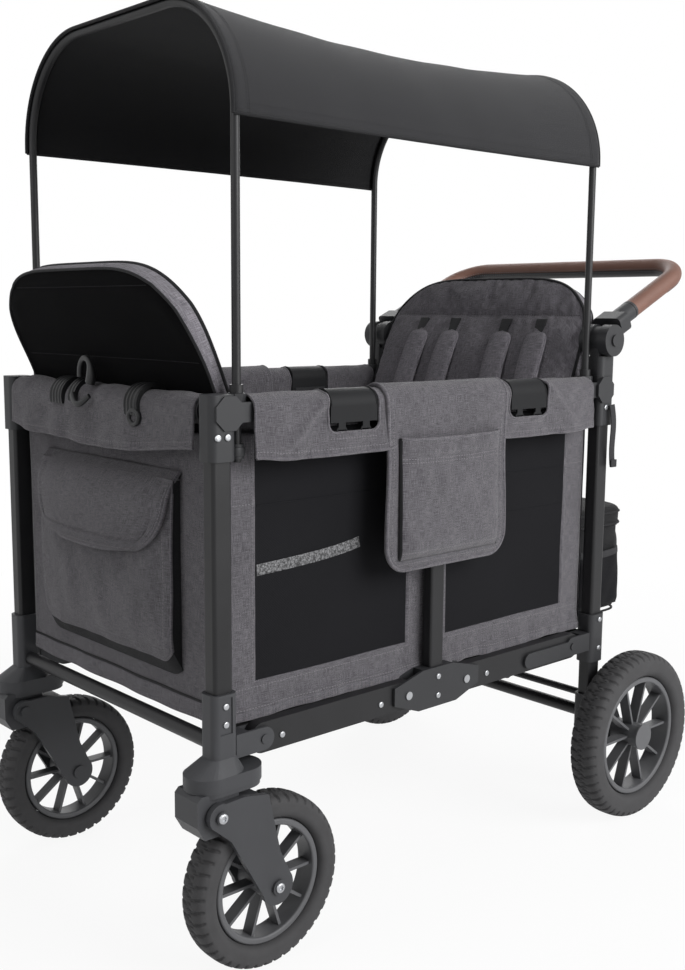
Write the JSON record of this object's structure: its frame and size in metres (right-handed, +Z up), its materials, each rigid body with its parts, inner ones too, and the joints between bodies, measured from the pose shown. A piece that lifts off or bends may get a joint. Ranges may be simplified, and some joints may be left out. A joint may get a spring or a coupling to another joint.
{
  "type": "stroller wagon",
  "caption": "Folding stroller wagon with facing padded seats in a fabric tub, a canopy on lift-out hoops, a tilting push handle, a foot brake and sprung swivel casters.",
  "frame": {"origin": "on the ground under the middle of the wagon's box", "axes": "+X runs from the casters to the push handle, +Y across to the side without the saddle bag, +Z up"},
  "size_m": [1.0561, 0.643, 1.2172],
  "materials": {
    "frame_tube": "satin black powder coat",
    "bracket_plastic": "fine grained",
    "rivet_steel": "bright",
    "grey_cloth": "heather weave",
    "mesh_cloth": "bound net",
    "black_cloth": "plain weave",
    "grip_leather": "stitched",
    "tyre_rubber": "matte",
    "rim_plastic": "satin"
  },
  "bodies": {
    "rear_frame": {"rear_legs": "frame_tube", "rear_corner_brackets": "bracket_plastic", "rear_lower_brackets": "bracket_plastic", "handle_sockets": "bracket_plastic", "rear_cross_tubes": "frame_tube", "rear_axle_housings": "bracket_plastic", "rear_axles": "rivet_steel", "rear_end_sleeve": "grey_cloth", "rear_panel": "grey_cloth", "rear_bag": "black_cloth", "rear_side_panels": "mesh_cloth", "rear_seat_base": "grey_cloth"},
    "handle": {"handle_hubs": "bracket_plastic", "handle_tube": "frame_tube", "handle_grip": "grip_leather"},
    "button_left": {"handle_button_left": "bracket_plastic"},
    "button_right": {"handle_button_right": "bracket_plastic"},
    "brake": {"brake_pedal": "bracket_plastic"},
    "rear_wheel_left": {"rear_tyre_left": "tyre_rubber", "rear_rim_left": "rim_plastic"},
    "rear_wheel_right": {"rear_tyre_right": "tyre_rubber", "rear_rim_right": "rim_plastic"},
    "rear_rails": {"rear_top_rails": "frame_tube", "rear_seat_hangers": "bracket_plastic", "rear_rail_sleeves": "grey_cloth"},
    "center": {"center_posts": "frame_tube", "top_hinge_blocks": "bracket_plastic", "lower_hinge_plates": "bracket_plastic", "fold_pins": "rivet_steel", "saddle_bag": "grey_cloth"},
    "front_rails": {"front_top_rails": "frame_tube", "front_seat_hangers": "bracket_plastic", "front_rail_sleeves": "grey_cloth"},
    "rear_floor": {"rear_lower_rails": "frame_tube", "rear_floor_board": "black_cloth"},
    "front_floor": {"front_lower_rails": "frame_tube", "front_floor_board": "black_cloth"},
    "front_frame": {"front_legs": "frame_tube", "front_corner_brackets": "bracket_plastic", "front_lower_brackets": "bracket_plastic", "front_cross_tubes": "frame_tube", "front_end_sleeve": "grey_cloth", "front_panel": "grey_cloth", "front_pocket": "grey_cloth", "front_side_panels": "mesh_cloth", "front_seat_base": "grey_cloth"},
    "front_hoop": {"front_hoop": "frame_tube"},
    "rear_hoop": {"rear_hoop": "frame_tube", "canopy": "black_cloth"},
    "front_seat_back": {"front_seat_back": "grey_cloth"},
    "rear_seat_back": {"rear_seat_back": "grey_cloth"},
    "head_left": {"caster_head_left": "bracket_plastic"},
    "head_right": {"caster_head_right": "bracket_plastic"},
    "fork_left": {"caster_fork_left": "bracket_plastic"},
    "fork_right": {"caster_fork_right": "bracket_plastic"},
    "front_wheel_left": {"front_tyre_left": "tyre_rubber", "front_rim_left": "rim_plastic"},
    "front_wheel_right": {"front_tyre_right": "tyre_rubber", "front_rim_right": "rim_plastic"}
  },
  "joints": [
    {"name": "fold", "type": "hinge", "parent": "rear_frame", "child": "rear_rails", "pos_m": [0.21595, 0, 0.717], "axis": [0, 1, 0], "range_deg": [0, 72], "deforming": ["canopy", "front_side_panels", "rear_side_panels", "front_seat_base", "rear_seat_base", "saddle_bag", "front_rail_sleeves", "rear_rail_sleeves"]},
    {"name": "fold_center", "type": "hinge", "parent": "rear_rails", "child": "center", "pos_m": [-0.04005, 0, 0.717], "axis": [0, 1, 0], "range_deg": [-72, 0]},
    {"name": "fold_front_rails", "type": "hinge", "parent": "center", "child": "front_rails", "pos_m": [-0.16005, 0, 0.717], "axis": [0, 1, 0], "range_deg": [-72, 0]},
    {"name": "fold_front_frame", "type": "hinge", "parent": "front_rails", "child": "front_frame", "pos_m": [-0.41605, 0, 0.717], "axis": [0, 1, 0], "range_deg": [0, 72]},
    {"name": "fold_rear_floor", "type": "hinge", "parent": "rear_frame", "child": "rear_floor", "pos_m": [0.21595, 0, 0.305], "axis": [0, 1, 0], "range_deg": [0, 72]},
    {"name": "fold_front_floor", "type": "hinge", "parent": "front_frame", "child": "front_floor", "pos_m": [-0.41605, 0, 0.305], "axis": [0, 1, 0], "range_deg": [-72, 0]},
    {"name": "handle_tilt", "type": "hinge", "parent": "rear_frame", "child": "handle", "pos_m": [0.27795, 0, 0.795], "axis": [0, -1, 0], "range_deg": [-30, 55]},
    {"name": "brake_press", "type": "hinge", "parent": "rear_frame", "child": "brake", "pos_m": [0.31995, 0, 0.192], "axis": [0, 1, 0], "range_deg": [0, 20]},
    {"name": "rear_wheel_spin_left", "type": "hinge", "parent": "rear_frame", "child": "rear_wheel_left", "pos_m": [0.33995, -0.2945, 0.139], "axis": [0, 1, 0], "continuous": true},
    {"name": "rear_wheel_spin_right", "type": "hinge", "parent": "rear_frame", "child": "rear_wheel_right", "pos_m": [0.33995, 0.2945, 0.139], "axis": [0, 1, 0], "continuous": true},
    {"name": "canopy_lift", "type": "slide", "parent": "rear_frame", "child": "rear_hoop", "axis": [0, 0, 1], "range_m": [0, 0.03]},
    {"name": "front_hoop_lift", "type": "slide", "parent": "front_frame", "child": "front_hoop", "axis": [0, 0, 1], "range_m": [0, 0.03]},
    {"name": "front_seat_fold", "type": "hinge", "parent": "front_frame", "child": "front_seat_back", "pos_m": [-0.39905, 0, 0.58], "axis": [0, 1, 0], "range_deg": [0, 34]},
    {"name": "rear_seat_fold", "type": "hinge", "parent": "rear_frame", "child": "rear_seat_back", "pos_m": [0.19895, 0, 0.58], "axis": [0, -1, 0], "range_deg": [0, 34]},
    {"name": "button_press_left", "type": "slide", "parent": "handle", "child": "button_left", "axis": [0, 1, 0], "range_m": [0, 0.0025], "stiffness_N_per_m": 800},
    {"name": "caster_swivel_left", "type": "hinge", "parent": "front_frame", "child": "head_left", "pos_m": [-0.47805, -0.25, 0.27], "axis": [0, 0, 1], "continuous": true},
    {"name": "suspension_left", "type": "hinge", "parent": "head_left", "child": "fork_left", "pos_m": [-0.50005, -0.25, 0.232], "axis": [0, -1, 0], "range_deg": [0, 5], "stiffness_Nm_per_rad": 40, "springref_deg": -8.59},
    {"name": "front_wheel_spin_left", "type": "hinge", "parent": "fork_left", "child": "front_wheel_left", "pos_m": [-0.41205, -0.25, 0.114], "axis": [0, 1, 0], "continuous": true},
    {"name": "button_press_right", "type": "slide", "parent": "handle", "child": "button_right", "axis": [0, -1, 0], "range_m": [0, 0.0025], "stiffness_N_per_m": 800},
    {"name": "caster_swivel_right", "type": "hinge", "parent": "front_frame", "child": "head_right", "pos_m": [-0.47805, 0.25, 0.27], "axis": [0, 0, 1], "continuous": true},
    {"name": "suspension_right", "type": "hinge", "parent": "head_right", "child": "fork_right", "pos_m": [-0.50005, 0.25, 0.232], "axis": [0, -1, 0], "range_deg": [0, 5], "stiffness_Nm_per_rad": 40, "springref_deg": -8.59},
    {"name": "front_wheel_spin_right", "type": "hinge", "parent": "fork_right", "child": "front_wheel_right", "pos_m": [-0.41205, 0.25, 0.114], "axis": [0, 1, 0], "continuous": true}
  ],
  "couplings": [
    {"joint": "fold_center", "follows": "fold", "ratio": -1},
    {"joint": "fold_front_rails", "follows": "fold", "ratio": -1},
    {"joint": "fold_front_frame", "follows": "fold", "ratio": 1},
    {"joint": "fold_rear_floor", "follows": "fold", "ratio": 1},
    {"joint": "fold_front_floor", "follows": "fold", "ratio": -1},
    {"joint": "front_hoop_lift", "follows": "canopy_lift", "ratio": 1}
  ]
}
